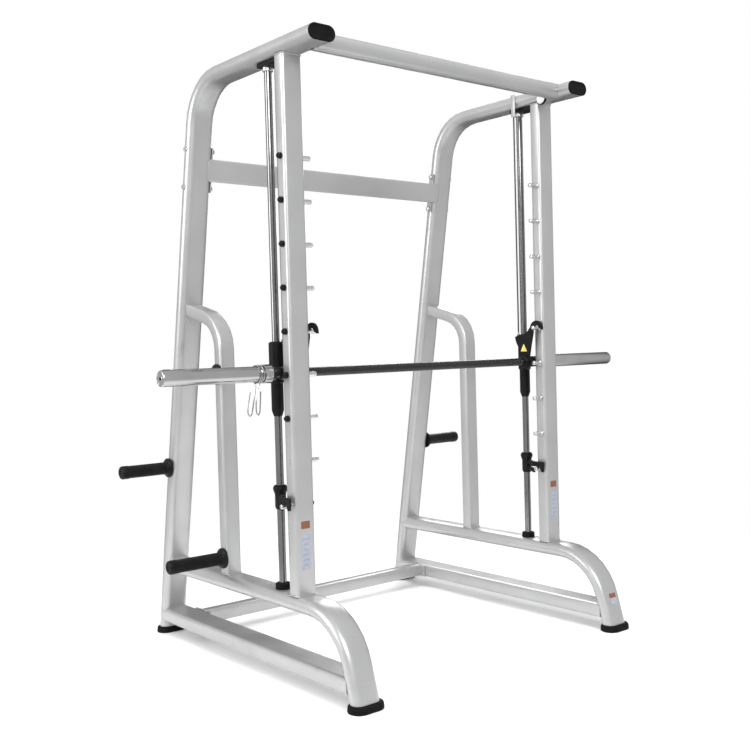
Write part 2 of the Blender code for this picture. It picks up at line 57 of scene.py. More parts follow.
TAGS = ("l", "r")
PEG_NUMBERS = range(1, 10)
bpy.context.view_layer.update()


def centre(node):
    low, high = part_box(node)
    return (low + high) / 2


FRAME_X = centre("upright_r").x
UPRIGHT_Y = centre("upright_r").y
ROD_Y = centre("guide_rod_r").y
BEAM_Z = centre("beam_cap_r").z
BAR_Y = centre("bar").y
BAR_Z = centre("bar").z
BEAM_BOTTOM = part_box("upright_r")[1].z
HOOK_X = centre("hook_r").x

# The leg behind: its middle's Y falls with height at this slope
LEG_SLOPE = -0.1761
LEG_FOOT_Y = UPRIGHT_Y + 0.891
LEG_HALF = 0.025
UPRIGHT_HALF = 0.0375
LEG_TUBE = (0.100, 0.050, 0.0249)
RAIL_TUBE = (0.100, 0.050, 0.012)

# Weld beads: their wire's radius, and how far their middle stands off a joint
BEAD_R = 0.0026
WELD_RISE = 0.0008
CROSSBAR_WELD_R = 0.0305

PEG_R = 0.008
CABLE_R = 0.003
CABLE_STEPS = 60
MEMBER_BOLT_RISE = 0.066
MEMBER_BOLT_ACROSS = 0.0150
MEMBER_WASHER_R = 0.0095
COLLAR_LENGTH = 0.0294

# The front leg leans forward; the Y of its front surface where that plane meets the floor
FRONT_LEAN = math.radians(16.0)
FRONT_FACE_Y = -0.3349

# Where the clip's coil starts, just outside the left sleeve's collar
CLIP_START_X = -0.704
CLIP_WIRE_R = 0.0021

# Cover and strap on the right beam: size, and how far from the upright's axis and the beam's (Y, Z)
COVER_SHIFT = (-0.048, -0.0175)
STRAP_SIZE = (0.0040, 0.020, 0.086)
STRAP_SHIFT = (0.095, -0.0185)
STRAP_OFF_FACE = 0.0022

# The surroundings are brightest in this direction
LIT_FROM = (-0.64, -0.75, 0.15)

FLOOR_RADIUS = 3.4

CAMERA_FROM_UPRIGHT = Vector((-2.4525, -2.6335, 1.0898))
CAMERA_AZIMUTH = -39.5752
CAMERA_ELEVATION = 1.7553
CAMERA_ROLL = -1.5552
CAMERA_LENS = 48.358


# Nodes of materials

class Shader:
    """A Principled material and short calls that add nodes to it."""

    def __init__(self, name, colour, roughness, metallic):
        self.material = bpy.data.materials.new(name)
        self.material.use_nodes = True
        self.tree = self.material.node_tree
        self.bsdf = self.tree.nodes["Principled BSDF"]
        self.bsdf.inputs["Base Color"].default_value = (*colour, 1.0)
        self.bsdf.inputs["Roughness"].default_value = roughness
        self.bsdf.inputs["Metallic"].default_value = metallic
        self.material.diffuse_color = (*colour, 1.0)
        self.coordinates = self.add("ShaderNodeTexCoord").outputs["Object"]
        self.normal = None

    def add(self, kind, **settings):
        node = self.tree.nodes.new(kind)
        for key, value in settings.items():
            setattr(node, key, value)
        return node

    def link(self, source, target):
        self.tree.links.new(source, target)

    def stretched(self, scale):
        mapping = self.add("ShaderNodeMapping")
        mapping.inputs["Scale"].default_value = scale
        self.link(self.coordinates, mapping.inputs["Vector"])
        return mapping.outputs["Vector"]

    def noise(self, scale, detail=3.0, stretch=(1, 1, 1), roughness=0.5):
        node = self.add("ShaderNodeTexNoise")
        node.inputs["Scale"].default_value = scale
        node.inputs["Detail"].default_value = detail
        node.inputs["Roughness"].default_value = roughness
        self.link(self.stretched(stretch), node.inputs["Vector"])
        return node.outputs["Fac"]

    def cells(self, scale, stretch=(1, 1, 1)):
        node = self.add("ShaderNodeTexVoronoi")
        node.inputs["Scale"].default_value = scale
        self.link(self.stretched(stretch), node.inputs["Vector"])
        return node

    def spread(self, value, low, high, start=0.35, end=0.65):
        node = self.add("ShaderNodeMapRange")
        for key, number in zip(("From Min", "From Max", "To Min", "To Max"), (start, end, low, high)):
            node.inputs[key].default_value = number
        self.link(value, node.inputs["Value"])
        return node.outputs["Result"]

    def ramp(self, value, stops):
        node = self.add("ShaderNodeValToRGB")
        while len(node.color_ramp.elements) < len(stops):
            node.color_ramp.elements.new(0.5)
        for element, (place, colour) in zip(node.color_ramp.elements, stops):
            element.position = place
            element.color = (*colour, 1.0)
        self.link(value, node.inputs["Fac"])
        return node.outputs["Color"]

    def mix(self, factor, first, second):
        node = self.add("ShaderNodeMix", data_type="RGBA")
        self.link(factor, node.inputs["Factor"])
        for source, target in ((first, node.inputs[6]), (second, node.inputs[7])):
            if isinstance(source, tuple):
                target.default_value = (*source, 1.0)
            else:
                self.link(source, target)
        return node.outputs[2]

    def maths(self, operation, first, second):
        node = self.add("ShaderNodeMath", operation=operation)
        for value, target in ((first, node.inputs[0]), (second, node.inputs[1])):
            if isinstance(value, (int, float)):
                target.default_value = value
            else:
                self.link(value, target)
        return node.outputs[0]

    def rounded_edges(self, radius):
        node = self.add("ShaderNodeBevel", samples=6)
        node.inputs["Radius"].default_value = radius
        self.normal = node.outputs["Normal"]

    def bump(self, height, distance, strength=1.0):
        node = self.add("ShaderNodeBump")
        node.inputs["Strength"].default_value = strength
        node.inputs["Distance"].default_value = distance
        self.link(height, node.inputs["Height"])
        if self.normal:
            self.link(self.normal, node.inputs["Normal"])
        self.normal = node.outputs["Normal"]
        self.link(self.normal, self.bsdf.inputs["Normal"])

    def colour(self, source):
        self.link(source, self.bsdf.inputs["Base Color"])

    def roughness(self, source):
        self.link(source, self.bsdf.inputs["Roughness"])


def powder_coat():
    """Silver metallic powder coat: flake, orange peel, soft mottling and scuffs near the floor."""
    s = Shader("silver_powder_coat", (0.46, 0.46, 0.462), 0.34, 0.72)
    mottled = s.ramp(s.noise(7.0, 4.0), ((0.30, (0.435, 0.436, 0.438)), (0.70, (0.48, 0.481, 0.484))))
    flake = s.cells(1500.0)
    sparkle = s.spread(flake.outputs["Color"], 0.0, 0.22, 0.2, 1.0)
    flaked = s.mix(sparkle, mottled, (0.62, 0.62, 0.63))
    split = s.add("ShaderNodeSeparateXYZ")
    s.link(s.coordinates, split.inputs["Vector"])
    near_floor = s.spread(split.outputs["Z"], 1.0, 0.0, 0.02, 0.32)
    scuff = s.spread(s.noise(38.0, 6.0, (1.0, 1.0, 2.2), 0.62), 0.0, 0.55, 0.58, 0.70)
    s.colour(s.mix(s.maths("MULTIPLY", near_floor, scuff), flaked, (0.34, 0.34, 0.335)))
    s.roughness(s.spread(s.noise(16.0, 5.0), 0.30, 0.40))
    s.bsdf.inputs["Coat Weight"].default_value = 0.25
    s.bsdf.inputs["Coat Roughness"].default_value = 0.16
    s.rounded_edges(0.0015)
    s.bump(s.noise(420.0, 2.0), 0.00035, 0.35)
    return s.material


def chrome(name, along, dark=0.40, light=0.47):
    """Hard chrome with fine polishing lines along one axis and faint rub marks."""
    s = Shader(name, (0.44, 0.443, 0.448), 0.14, 1.0)
    lines = [900.0, 900.0, 900.0]
    lines[along] = 14.0
    # dark and light set the base tone; the guide rods' copy gets a much darker tone, a painted dark
    # reflection of the surroundings
    s.colour(s.ramp(s.noise(9.0, 3.0), ((0.25, (dark,) * 3), (0.75, (light,) * 3))))
    s.roughness(s.spread(s.noise(1.0, 4.0, tuple(lines)), 0.07, 0.20, 0.30, 0.72))
    s.bump(s.noise(1.0, 2.0, tuple(lines)), 0.00006, 0.5)
    return s.material


def zinc():
    s = Shader("bright_zinc", (0.60, 0.60, 0.61), 0.28, 1.0)
    s.colour(s.ramp(s.noise(60.0, 4.0), ((0.30, (0.52, 0.52, 0.53)), (0.70, (0.70, 0.70, 0.69)))))
    s.roughness(s.spread(s.noise(180.0, 3.0), 0.20, 0.40))
    s.bump(s.noise(800.0, 2.0), 0.0001, 0.5)
    return s.material


def black_coat(name="black_powder_coat", roughness=0.34, wear=0.06):
    """Black powder coat with orange peel, dusty mottling and rubbed, greyer patches."""
    s = Shader(name, (0.008, 0.008, 0.009), roughness, 0.0)
    base = s.ramp(s.noise(24.0, 4.0), ((0.30, (0.004, 0.004, 0.0043)), (0.72, (0.009, 0.009, 0.0095))))
    rub = s.spread(s.noise(55.0, 8.0, (1, 1, 1), 0.70), 0.0, wear, 0.58, 0.74)
    s.colour(s.mix(rub, base, (0.10, 0.10, 0.105)))
    s.roughness(s.spread(s.noise(30.0, 5.0), roughness - 0.06, roughness + 0.10))
    s.bsdf.inputs["Specular IOR Level"].default_value = 0.14
    s.rounded_edges(0.0012)
    s.bump(s.noise(500.0, 2.0), 0.0002, 0.35)
    return s.material


def knurled_bar():
    """The bar's black finish, with diamond knurling in its two hand zones."""
    s = Shader("black_bar", (0.010, 0.010, 0.011), 0.26, 0.2)
    split = s.add("ShaderNodeSeparateXYZ")
    s.link(s.coordinates, split.inputs["Vector"])
    across = s.maths("SUBTRACT", split.outputs["Y"], BAR_Y)
    height = s.maths("SUBTRACT", split.outputs["Z"], BAR_Z)
    turn = s.maths("MULTIPLY", s.maths("ARCTAN2", height, across), 26.0)
    run = s.maths("MULTIPLY", split.outputs["X"], 1750.0)
    first = s.maths("SINE", s.maths("ADD", run, turn), 0.0)
    second = s.maths("SINE", s.maths("SUBTRACT", run, turn), 0.0)
    diamonds = s.maths("MULTIPLY", first, second)
    reach = s.maths("ABSOLUTE", split.outputs["X"], 0.0)
    inside = s.maths("GREATER_THAN", reach, 0.11)
    zone = s.maths("MULTIPLY", inside, s.maths("LESS_THAN", reach, 0.47))
    s.colour(s.ramp(s.noise(40.0, 5.0), ((0.35, (0.009, 0.009, 0.010)), (0.70, (0.014, 0.014, 0.015)))))
    s.roughness(s.spread(s.noise(90.0, 4.0), 0.22, 0.36))
    s.bump(s.maths("MULTIPLY", diamonds, zone), 0.00012, 0.30)
    return s.material


def moulded(name, colour, roughness, grain):
    s = Shader(name, colour, roughness, 0.0)
    lighter = tuple(channel * 1.6 + 0.002 for channel in colour)
    s.colour(s.ramp(s.noise(30.0, 5.0), ((0.30, colour), (0.78, lighter))))
    s.roughness(s.spread(s.noise(70.0, 4.0), roughness - 0.08, roughness + 0.10))
    s.bsdf.inputs["Specular IOR Level"].default_value = 0.08
    s.rounded_edges(0.0010)
    s.bump(s.noise(grain, 3.0), 0.0004, 0.5)
    return s.material


def cable_jacket():
    """Wire rope under a dark jacket: slanting strand ridges show through."""
    s = Shader("cable_jacket", (0.03, 0.03, 0.033), 0.38, 0.0)
    wave = s.add("ShaderNodeTexWave", wave_type="BANDS", bands_direction="DIAGONAL")
    wave.inputs["Scale"].default_value = 120.0
    wave.inputs["Distortion"].default_value = 0.6
    s.link(s.stretched((1.0, 1.0, 0.55)), wave.inputs["Vector"])
    s.colour(s.ramp(wave.outputs["Fac"], ((0.2, (0.015, 0.015, 0.017)), (0.9, (0.06, 0.06, 0.063)))))
    s.bump(wave.outputs["Fac"], 0.0004, 0.6)
    return s.material


def printed(name, colour, roughness=0.42):
    s = Shader(name, colour, roughness, 0.0)
    darker = tuple(channel * 0.86 for channel in colour)
    s.colour(s.ramp(s.noise(90.0, 4.0), ((0.30, darker), (0.62, colour))))
    s.bump(s.noise(600.0, 2.0), 0.0001, 0.4)
    return s.material


SILVER = powder_coat()
# Guide rod chrome: the same chrome with its base tone pushed dark, a painted dark reflection of the
# surroundings
CHROME_UP_PAINTED_DARK = chrome("chrome_rod_painted_dark_reflection", 2, 0.19, 0.26)
CHROME_ACROSS = chrome("chrome_sleeve", 0)
CLIP_WIRE = chrome("clip_wire", 2)
ZINC = zinc()
BLACK = black_coat()
BLACK_WORN = black_coat("black_storage_peg", 0.36, 0.10)
BAR_BLACK = knurled_bar()
PLASTIC = moulded("black_moulded_plastic", (0.004, 0.004, 0.0043), 0.42, 350.0)
RUBBER = moulded("black_rubber", (0.005, 0.005, 0.005), 0.60, 220.0)
CABLE = cable_jacket()
BOLT_BLACK = black_coat("black_oxide_bolt", 0.30, 0.06)
WHITE_PLASTIC = printed("white_plastic", (0.80, 0.80, 0.79), 0.35)
YELLOW = printed("plain_yellow_film", (0.72, 0.60, 0.16))
LABEL_PALE = printed("plain_pale_film", (0.38, 0.40, 0.47))
LABEL_LINES = printed("plain_grey_print", (0.28, 0.31, 0.41))
LABEL_ORANGE = printed("plain_orange_film", (0.22, 0.08, 0.045))


# Mesh helpers

def add_piece(name, bm, material, body, slot=None, smooth_angle=35.0, replaces=()):
    """Finishes a mesh as a piece that rides on a body, and may stand for CAD nodes."""
    bmesh.ops.recalc_face_normals(bm, faces=bm.faces)
    mesh = bpy.data.meshes.new(name)
    bm.to_mesh(mesh)
    bm.free()
    mesh.materials.append(material)
    mesh.polygons.foreach_set("use_smooth", [True] * len(mesh.polygons))
    mesh.set_sharp_from_angle(angle=math.radians(smooth_angle))
    item = bpy.data.objects.new(name, mesh)
    bpy.context.scene.collection.objects.link(item)
    if replaces:
        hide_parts(*replaces)
    if body:
        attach(item, body)
    return item


def skin(bm, rings, closed_ends=True):
    for first, second in zip(rings, rings[1:]):
        for i in range(len(first)):
            j = (i + 1) % len(first)
            bm.faces.new((first[i], first[j], second[j], second[i]))
    if closed_ends:
        bm.faces.new(rings[0])
        bm.faces.new(rings[-1])


def axis_frame(axis):
    along = Vector(axis).normalized()
    across = Vector((0, 0, 1)) if abs(along.z) < 0.9 else Vector((1, 0, 0))
    across = (across - along * across.dot(along)).normalized()
    return along, across, along.cross(across)


def turned_rings(bm, origin, axis, profile, segments=40):
    """Adds a turned solid: profile is (distance along the axis, radius) from end to end."""
    along, across, third = axis_frame(axis)
    rings = []
    for distance, radius in profile:
        base = Vector(origin) + along * distance
        ring = []
        for i in range(segments):
            angle = 2 * math.pi * i / segments
            point = base + radius * (across * math.cos(angle) + third * math.sin(angle))
            ring.append(bm.verts.new(point))
        rings.append(ring)
    skin(bm, rings)


def turned(name, origin, axis, profile, material, body, segments=40, **options):
    bm = bmesh.new()
    turned_rings(bm, origin, axis, profile, segments)
    return add_piece(name, bm, material, body, **options)


def rounded_loop(width, height, radius, steps=10):
    points = []
    for corner, (su, sv) in enumerate(((1, 1), (-1, 1), (-1, -1), (1, -1))):
        cu = su * (width / 2 - radius)
        cv = sv * (height / 2 - radius)
        for step in range(steps + 1):
            angle = math.radians(90.0 * (corner + step / steps))
            points.append((cu + radius * math.cos(angle), cv + radius * math.sin(angle)))
    return points


def wire(name, points, radius, material, body, closed=False, resolution=3, **options):
    """A round wire through points, as a mesh made from a bevelled curve."""
    curve = bpy.data.curves.new(name + "_path", "CURVE")
    curve.dimensions = "3D"
    curve.bevel_depth = radius
    curve.bevel_resolution = resolution
    curve.use_fill_caps = not closed
    spline = curve.splines.new("POLY")
    spline.points.add(len(points) - 1)
    for slot, point in zip(spline.points, points):
        slot.co = (*point, 1.0)
    spline.use_cyclic_u = closed
    guide = bpy.data.objects.new(name + "_path", curve)
    bpy.context.scene.collection.objects.link(guide)
    bpy.context.view_layer.update()
    graph = bpy.context.evaluated_depsgraph_get()
    mesh = bpy.data.meshes.new_from_object(guide.evaluated_get(graph))
    bpy.data.objects.remove(guide, do_unlink=True)
    bm = bmesh.new()
    bm.from_mesh(mesh)
    bpy.data.meshes.remove(mesh)
    bmesh.ops.remove_doubles(bm, verts=bm.verts, dist=0.00001)
    return add_piece(name, bm, material, body, **options)


def smoothed(points, steps):
    """A Catmull-Rom curve through the points given."""
    result = []
    padded = [points[0]] + list(points) + [points[-1]]
    for a, b, c, d in zip(padded, padded[1:], padded[2:], padded[3:]):
        a, b, c, d = Vector(a), Vector(b), Vector(c), Vector(d)
        for step in range(steps):
            t = step / steps
            point = 2 * b + (c - a) * t
            point += (2 * a - 5 * b + 4 * c - d) * t * t
            point += (3 * b - a - 3 * c + d) * t * t * t
            result.append(point / 2)
    result.append(Vector(points[-1]))
    return result


def bead(name, points):
    """A weld bead: a closed round fillet in the frame's colour."""
    wire(name, points, BEAD_R, SILVER, "frame", closed=True, resolution=2, slot="silver_paint")


def hex_bolt(name, origin, axis, across, height, material, body, washer=0.0, slot="black_paint"):
    """A hexagon head on a washer, with its top edges chamfered."""
    bm = bmesh.new()
    start = 0.0
    if washer:
        turned_rings(bm, origin, axis, ((0.0, washer - 0.0004), (0.0004, washer), (0.0016, washer),
                                        (0.0020, washer - 0.0004)), 32)
        start = 0.0020
    corner = across / math.sqrt(3.0)
    turned_rings(bm, origin, axis, ((start, corner), (height - 0.0012, corner),
                                    (height, corner - 0.0014)), 6)
    turned_rings(bm, origin, axis, ((height - 0.0002, corner - 0.0034),
                                    (height + 0.0003, corner - 0.0040)), 24)
    return add_piece(name, bm, material, body, slot=slot)


# CAD nodes that stay: smooth their round faces and give them finishes

def smooth_node(node, angle=34.0):
    mesh = node.data
    if "custom_normal" in mesh.attributes:
        mesh.attributes.remove(mesh.attributes["custom_normal"])
    if "sharp_edge" in mesh.attributes:
        mesh.attributes.remove(mesh.attributes["sharp_edge"])
    mesh.polygons.foreach_set("use_smooth", [True] * len(mesh.polygons))
    weld = node.modifiers.new("weld", "WELD")
    weld.merge_threshold = 0.00001
    split = node.modifiers.new("sharp_edges", "EDGE_SPLIT")
    split.use_edge_sharp = False
    split.split_angle = math.radians(angle)


def finish_nodes():
    slots = {part["node"]: part["material_slot"] for part in frame["record"]["subparts"]}
    looks = {"silver_paint": SILVER, "chrome": CHROME_ACROSS, "zinc_steel": ZINC, "black_paint": BLACK,
             "black_plastic": PLASTIC, "rubber": RUBBER, "cable_coat": CABLE}
    special = {"guide_rod_l": CHROME_UP_PAINTED_DARK, "guide_rod_r": CHROME_UP_PAINTED_DARK, "bar": BAR_BLACK}
    for name, node in NODES.items():
        smooth_node(node)
        node.data.materials.clear()
        node.data.materials.append(special.get(name, looks[slots[name]]))


# Frame details

def leg_front(z, offset):
    """Y of the rear leg's front surface at a height, for a point this far from its middle in X."""
    reach = max(abs(offset) - LEG_HALF, 0.0)
    depth = math.sqrt(max(LEG_HALF ** 2 - reach ** 2, 0.0))
    return LEG_FOOT_Y + LEG_SLOPE * z - depth * math.sqrt(1 + LEG_SLOPE ** 2)


def welds():
    for side, tag in SIDES:
        x = side * FRAME_X
        low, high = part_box("upright_" + tag)
        size = high - low
        loop = rounded_loop(size.x + 0.001, size.y + 0.001, 0.0105)
        for end, z in (("foot", low.z + WELD_RISE), ("head", high.z - WELD_RISE)):
            bead(f"weld_upright_{end}_{tag}", [(x + u, UPRIGHT_Y + v, z) for u, v in loop])
        post_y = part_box("loop_post_" + tag)[0].y + 0.0225
        loop = rounded_loop(0.061, 0.046, 0.0085)
        bead("weld_post_" + tag, [(x + u, post_y + v, low.z + WELD_RISE) for u, v in loop])
        for name, (width, height, radius) in (("lower_beam", LEG_TUBE), ("base_rail", RAIL_TUBE)):
            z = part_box(f"{name}_{tag}")[1].z - height / 2
            loop = rounded_loop(width - 0.004, height + 0.001, radius)
            points = [(x + u, leg_front(z + v, u) - WELD_RISE, z + v) for u, v in loop]
            bead(f"weld_{name}_{tag}", points)
        inner = side * (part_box("top_crossbar")[1].x - 0.0005)
        bar_centre = centre("top_crossbar")
        ring = []
        for degrees in range(0, 360, 8):
            across = CROSSBAR_WELD_R * math.cos(math.radians(degrees))
            rise = CROSSBAR_WELD_R * math.sin(math.radians(degrees))
            if abs(rise) < 0.026:
                ring.append((inner, bar_centre.y + across, bar_centre.z + rise))
        for part, points in (("rear", [p for p in ring if p[1] > bar_centre.y]),
                             ("front", [p for p in ring if p[1] < bar_centre.y])):
            points = sorted(points, key=lambda p: p[2])
            wire(f"weld_crossbar_{part}_{tag}", points, BEAD_R, SILVER, "frame", slot="silver_paint")
        floor_bar = centre("floor_crossbar")
        loop = rounded_loop(0.051, 0.051, 0.0085)
        end = side * (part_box("floor_crossbar")[1].x - 0.0006)
        bead("weld_floor_bar_" + tag, [(end, floor_bar.y + u, floor_bar.z + v) for u, v in loop])


def peg_pieces():
    """Pins with collars and domed nuts; the left stop's pin points outwards, and peg_l8 has no nut."""
    for side, tag in SIDES:
        for number in PEG_NUMBERS:
            node = f"peg_{tag}{number}"
            way = side if node == "peg_l9" else -side
            low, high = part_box(node)
            z = (low.z + high.z) / 2
            face = side * FRAME_X + way * UPRIGHT_HALF
            tip = abs((high.x if way > 0 else low.x) - face)
            bm = bmesh.new()
            turned_rings(bm, (face, UPRIGHT_Y, z), (way, 0, 0),
                         ((-2 * UPRIGHT_HALF - 0.0003, PEG_R), (0.0004, PEG_R), (0.0004, 0.0120),
                          (0.0010, 0.0125), (0.0036, 0.0125), (0.0046, 0.0115), (0.0048, PEG_R),
                          (tip - 0.0022, PEG_R), (tip - 0.0008, 0.0070), (tip, 0.0050)), 32)
            add_piece(f"peg_pin_{tag}{number}", bm, ZINC, "frame", slot="zinc_steel", replaces=(node,))
            if node == "peg_l8":
                continue
            back = (side * FRAME_X - way * UPRIGHT_HALF, UPRIGHT_Y, z)
            bm = bmesh.new()
            turned_rings(bm, back, (-way, 0, 0), ((0.0004, 0.0100), (0.0004, 0.0105), (0.0015, 0.0105),
                                                 (0.0020, 0.0098)), 28)
            turned_rings(bm, back, (-way, 0, 0), ((0.0019, 0.0102), (0.0085, 0.0102), (0.0095, 0.0090)), 6)
            turned_rings(bm, back, (-way, 0, 0), ((0.0090, 0.0080), (0.0112, 0.0074), (0.0132, 0.0056),
                                                 (0.0145, 0.0028), (0.0149, 0.0008)), 24)
            add_piece(f"peg_nut_{tag}{number}", bm, BOLT_BLACK, "frame", slot="black_paint")


def storage_pegs():
    for node, side in (("leg_storage_peg_l", -1), ("leg_storage_peg_r", 1),
                       ("post_storage_peg_low", -1), ("post_storage_peg_high", -1)):
        low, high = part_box(node)
        middle = (low + high) / 2
        start = high.x if side < 0 else low.x
        length = high.x - low.x
        profile = ((0.0, 0.0345), (0.0008, 0.0358), (0.0060, 0.0360), (0.0085, 0.0338), (0.0130, 0.0262),
                   (0.0165, 0.0238), (0.0200, 0.0230), (length - 0.0290, 0.0230), (length - 0.0282, 0.0242),
                   (length - 0.0070, 0.0242), (length - 0.0030, 0.0228), (length - 0.0008, 0.0198),
                   (length, 0.0160), (length - 0.0004, 0.0095), (length - 0.0022, 0.0088),
                   (length - 0.0024, 0.0010))
        turned(node + "_moulded", (start, middle.y, middle.z), (side, 0, 0), profile, BLACK_WORN, "frame",
               48, slot="black_paint", replaces=(node,))


def oval_pad(name, node, top_inset):
    low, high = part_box(node)
    middle = (low + high) / 2
    width = high.x - low.x
    depth = high.y - low.y
    height = high.z
    bm = bmesh.new()
    rings = []
    steps = ((0.0030, 0.0), (0.0006, 0.0012), (0.0, 0.0035), (0.0, 0.0085), (0.0016, 0.0100),
             (0.0016, 0.0112), (0.0004, 0.0124), (0.0012, 0.0180), (top_inset, height - 0.0006),
             (top_inset + 0.0012, height))
    for inset, z in steps:
        loop = rounded_loop(width - 2 * inset, depth - 2 * inset, depth / 2 - inset - 0.0002, 12)
        rings.append([bm.verts.new((middle.x + u, middle.y + v, z)) for u, v in loop])
    skin(bm, rings)
    add_piece(name, bm, RUBBER, "frame", slot="rubber", replaces=(node,))


def beam_cap(tag):
    node = "beam_cap_" + tag
    low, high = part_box(node)
    middle = (low + high) / 2
    bm = bmesh.new()
    rings = []
    rim = low.y + 0.0078
    for inset, y in ((0.0004, rim), (0.0, rim - 0.0012), (0.0, low.y + 0.0022), (0.0012, low.y + 0.0006),
                     (0.0030, low.y), (0.0056, low.y + 0.0005), (0.0070, low.y + 0.0022),
                     (0.0082, low.y + 0.0026), (0.0200, low.y + 0.0018)):
        loop = rounded_loop(0.100 - 2 * inset, 0.050 - 2 * inset, 0.0249 - inset, 14)
        rings.append([bm.verts.new((middle.x + u, y, middle.z + v)) for u, v in loop])
    skin(bm, rings)
    add_piece("beam_plug_" + tag, bm, PLASTIC, "frame", slot="black_plastic", replaces=(node,))


def member_bolts():
    for side, tag in SIDES:
        for level, shift in (("upper", MEMBER_BOLT_RISE), ("lower", -MEMBER_BOLT_RISE)):
            z = centre("upper_crossmember").z + shift
            y = LEG_FOOT_Y + LEG_SLOPE * z
            hex_bolt(f"member_bolt_{level}_{tag}", (side * (FRAME_X + 0.0495), y, z), (side, 0, 0),
                     MEMBER_BOLT_ACROSS, 0.0070, ZINC, "frame", MEMBER_WASHER_R, "zinc_steel")
            hex_bolt(f"member_nut_{level}_{tag}", (side * (FRAME_X - 0.0583), y, z), (-side, 0, 0),
                     MEMBER_BOLT_ACROSS, 0.0075, ZINC, "frame", MEMBER_WASHER_R, "zinc_steel")


def cable_parts():
    for tag in TAGS:
        low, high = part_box("cable_" + tag)
        middle = (low + high) / 2
        length = high.z - low.z
        profile = [(step * length / CABLE_STEPS, CABLE_R) for step in range(CABLE_STEPS + 1)]
        item = turned("cable_rope_" + tag, (middle.x, middle.y, low.z), (0, 0, 1), profile, CABLE, None, 16,
                      slot="cable_coat", replaces=("cable_" + tag,))
        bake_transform(item)
        turned("cable_gland_" + tag, (middle.x, middle.y, BEAM_BOTTOM + 0.0004), (0, 0, -1),
               ((0.0, 0.0075), (0.0024, 0.0078), (0.0034, 0.0070), (0.0062, 0.0052), (0.0100, 0.0045)),
               PLASTIC, "frame", 28, slot="black_plastic")
        turned("cable_ferrule_" + tag, (middle.x, middle.y, low.z - 0.0002), (0, 0, 1),
               ((0.0, 0.0060), (0.0010, 0.0066), (0.0075, 0.0066), (0.0095, 0.0045), (0.0140, 0.0036)),
               ZINC, "carriage", 24, slot="zinc_steel")


def beam_fittings():
    """Round cover and strap on the inner side of the right beam."""
    face = FRAME_X - 0.0500
    cover = (face, UPRIGHT_Y + COVER_SHIFT[0], BEAM_Z + COVER_SHIFT[1])
    turned("beam_cover_rim", cover, (-1, 0, 0),
           ((-0.006, 0.0232), (0.0010, 0.0235), (0.0026, 0.0228), (0.0030, 0.0205)),
           BLACK, "frame", 48, slot="black_paint")
    turned("beam_cover", cover, (-1, 0, 0),
           ((0.0, 0.0200), (0.0036, 0.0200), (0.0044, 0.0190), (0.0050, 0.0120), (0.0052, 0.001)),
           WHITE_PLASTIC, "frame", 48, slot="black_plastic")
    bm = bmesh.new()
    bmesh.ops.create_cube(bm, size=1.0)
    bmesh.ops.scale(bm, verts=bm.verts, vec=STRAP_SIZE)
    bmesh.ops.bevel(bm, geom=bm.edges, offset=0.0008, segments=2, affect="EDGES", profile=0.5)
    middle = (face - STRAP_OFF_FACE, UPRIGHT_Y + STRAP_SHIFT[0], BEAM_Z + STRAP_SHIFT[1])
    bmesh.ops.translate(bm, verts=bm.verts, vec=middle)
    add_piece("beam_strap", bm, SILVER, "frame", slot="silver_paint")


def rod_fittings():
    for side, tag in SIDES:
        x = side * FRAME_X
        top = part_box("guide_rod_" + tag)[1].z
        turned("rod_socket_" + tag, (x, ROD_Y, top), (0, 0, -1),
               ((0.0, 0.0175), (0.0006, 0.0180), (0.0110, 0.0180), (0.0125, 0.0168), (0.0128, 0.0128)),
               ZINC, "frame", 40, slot="zinc_steel")


# Bar, sleeves and clip

def sleeves():
    for side, tag in SIDES:
        node = "sleeve_" + tag
        low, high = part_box(node)
        start = min(abs(low.x), abs(high.x))
        length = high.x - low.x
        collar = COLLAR_LENGTH
        bar_end = Vector((side * start, BAR_Y, BAR_Z))
        profile = ((0.0, 0.0150), (0.0, 0.0285), (0.0015, 0.0300), (collar - 0.0020, 0.0300),
                   (collar - 0.0004, 0.0286), (collar, 0.0262), (collar + 0.0004, 0.0243),
                   (collar + 0.0024, 0.0243), (collar + 0.0030, 0.0250), (length - 0.0044, 0.0250),
                   (length - 0.0020, 0.0240), (length - 0.0004, 0.0222), (length, 0.0206),
                   (length - 0.0002, 0.0190), (length - 0.0018, 0.0184), (length - 0.0020, 0.0085),
                   (length - 0.0008, 0.0078), (length - 0.0008, 0.0010))
        turned("sleeve_shell_" + tag, bar_end, (side, 0, 0), profile, CHROME_ACROSS,
               "sleeve_" + tag, 64, slot="chrome", replaces=(node,))
        hex_bolt("sleeve_end_bolt_" + tag, (side * (start + length - 0.0022), BAR_Y, BAR_Z), (side, 0, 0),
                 0.0130, 0.0018, BOLT_BLACK, "sleeve_" + tag)
        facing = Vector((0.0, -math.cos(0.35), -math.sin(0.35)))
        seat = Vector((side * (start + collar / 2), BAR_Y, BAR_Z)) + facing * 0.0294
        turned("sleeve_set_screw_" + tag, seat, facing,
               ((-0.004, 0.0042), (0.0005, 0.0042), (0.0008, 0.0036), (0.0002, 0.0026),
                (-0.002, 0.0022)), BOLT_BLACK, "sleeve_" + tag, 24, slot="black_paint")


